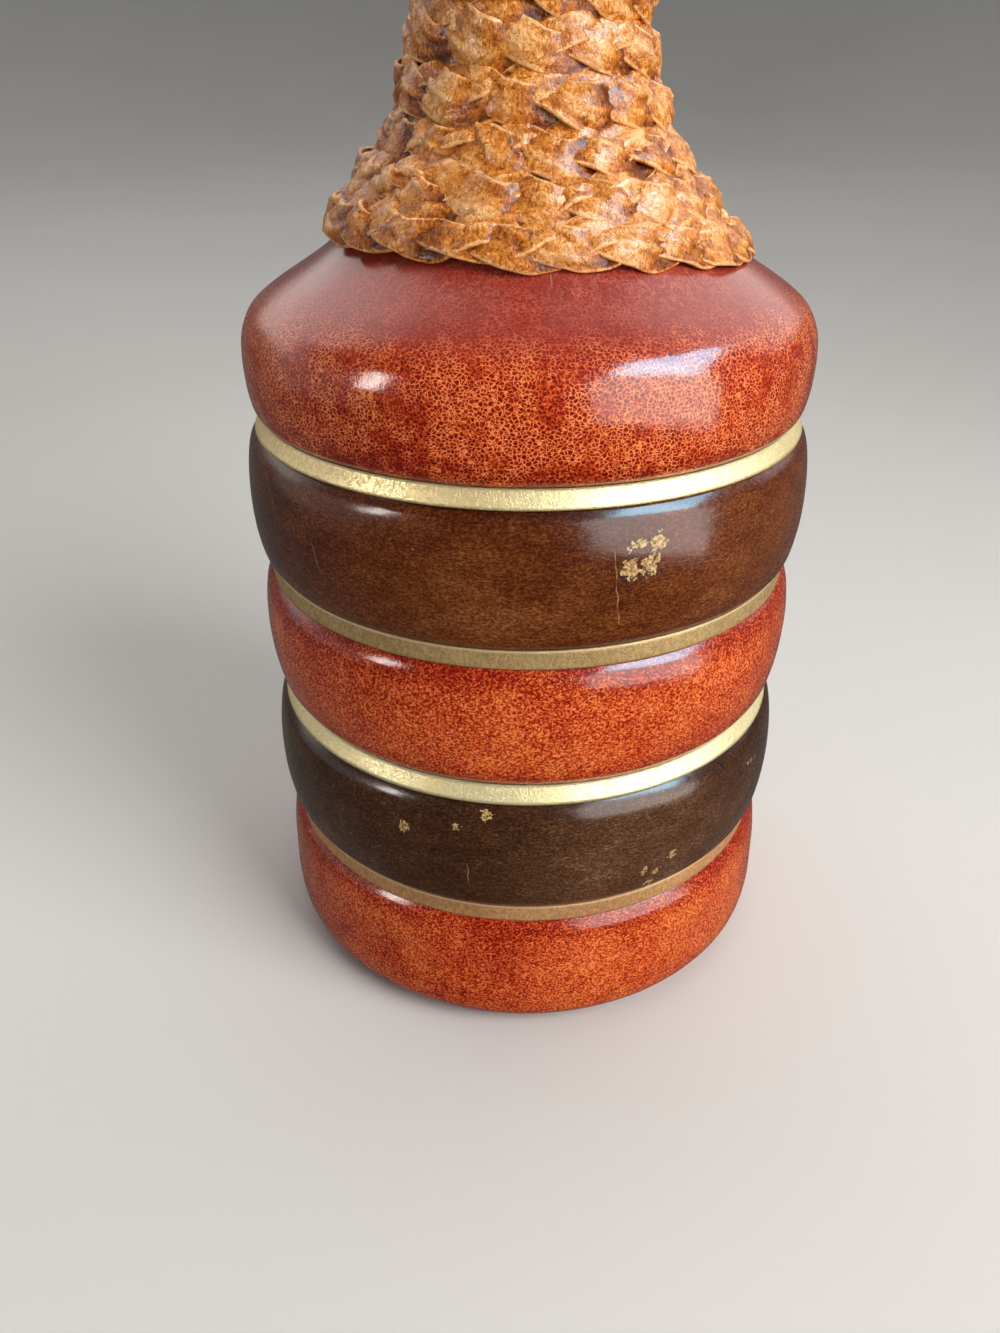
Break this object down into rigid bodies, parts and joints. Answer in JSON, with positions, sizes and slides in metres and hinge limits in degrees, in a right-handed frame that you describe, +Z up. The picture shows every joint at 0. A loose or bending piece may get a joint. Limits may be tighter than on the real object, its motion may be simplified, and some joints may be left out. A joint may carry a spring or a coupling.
{
  "type": "leather-wrapped decanter",
  "caption": "Round glass decanter wrapped in crowned leather bands with gilt strips between them, a plaited leather neck and a lift-out cork stopper; stores and pours drink.",
  "frame": {"origin": "centre of the underside of the foot pad", "axes": "+Z up along the bottle's axis; the picture looks along +Y from the front"},
  "size_m": [0.1278, 0.1278, 0.2939],
  "materials": {
    "glass": "clear pressed glass with a faint green tint",
    "felt": "dark brown felt",
    "red_leather": "glossy orange-red antiqued leather, darker at the edges",
    "brown_leather": "glossy dark brown leather with small scuffs",
    "tan_leather": "satin tan leather, plaited",
    "gilt": "gold foil on a thin leather strip, brushed and slightly crackled",
    "cork": "natural cork",
    "wood": "turned hardwood"
  },
  "bodies": {
    "bottle": {"glass_bottle": "glass", "base_pad": "felt", "base_band": "red_leather", "lower_brown_band": "brown_leather", "middle_red_band": "red_leather", "upper_brown_band": "brown_leather", "shoulder_cover": "red_leather", "gilt_strip_1": "gilt", "gilt_strip_2": "gilt", "gilt_strip_3": "gilt", "gilt_strip_4": "gilt", "neck_plait": "tan_leather"},
    "stopper": {"stopper_cork": "cork", "stopper_dowel": "wood", "stopper_knob": "wood", "stopper_cover": "red_leather", "stopper_ring": "gilt"}
  },
  "joints": [
    {"name": "stopper_lift", "type": "slide", "parent": "bottle", "child": "stopper", "axis": [0, 0, 1], "range_m": [0, 0.06]}
  ]
}
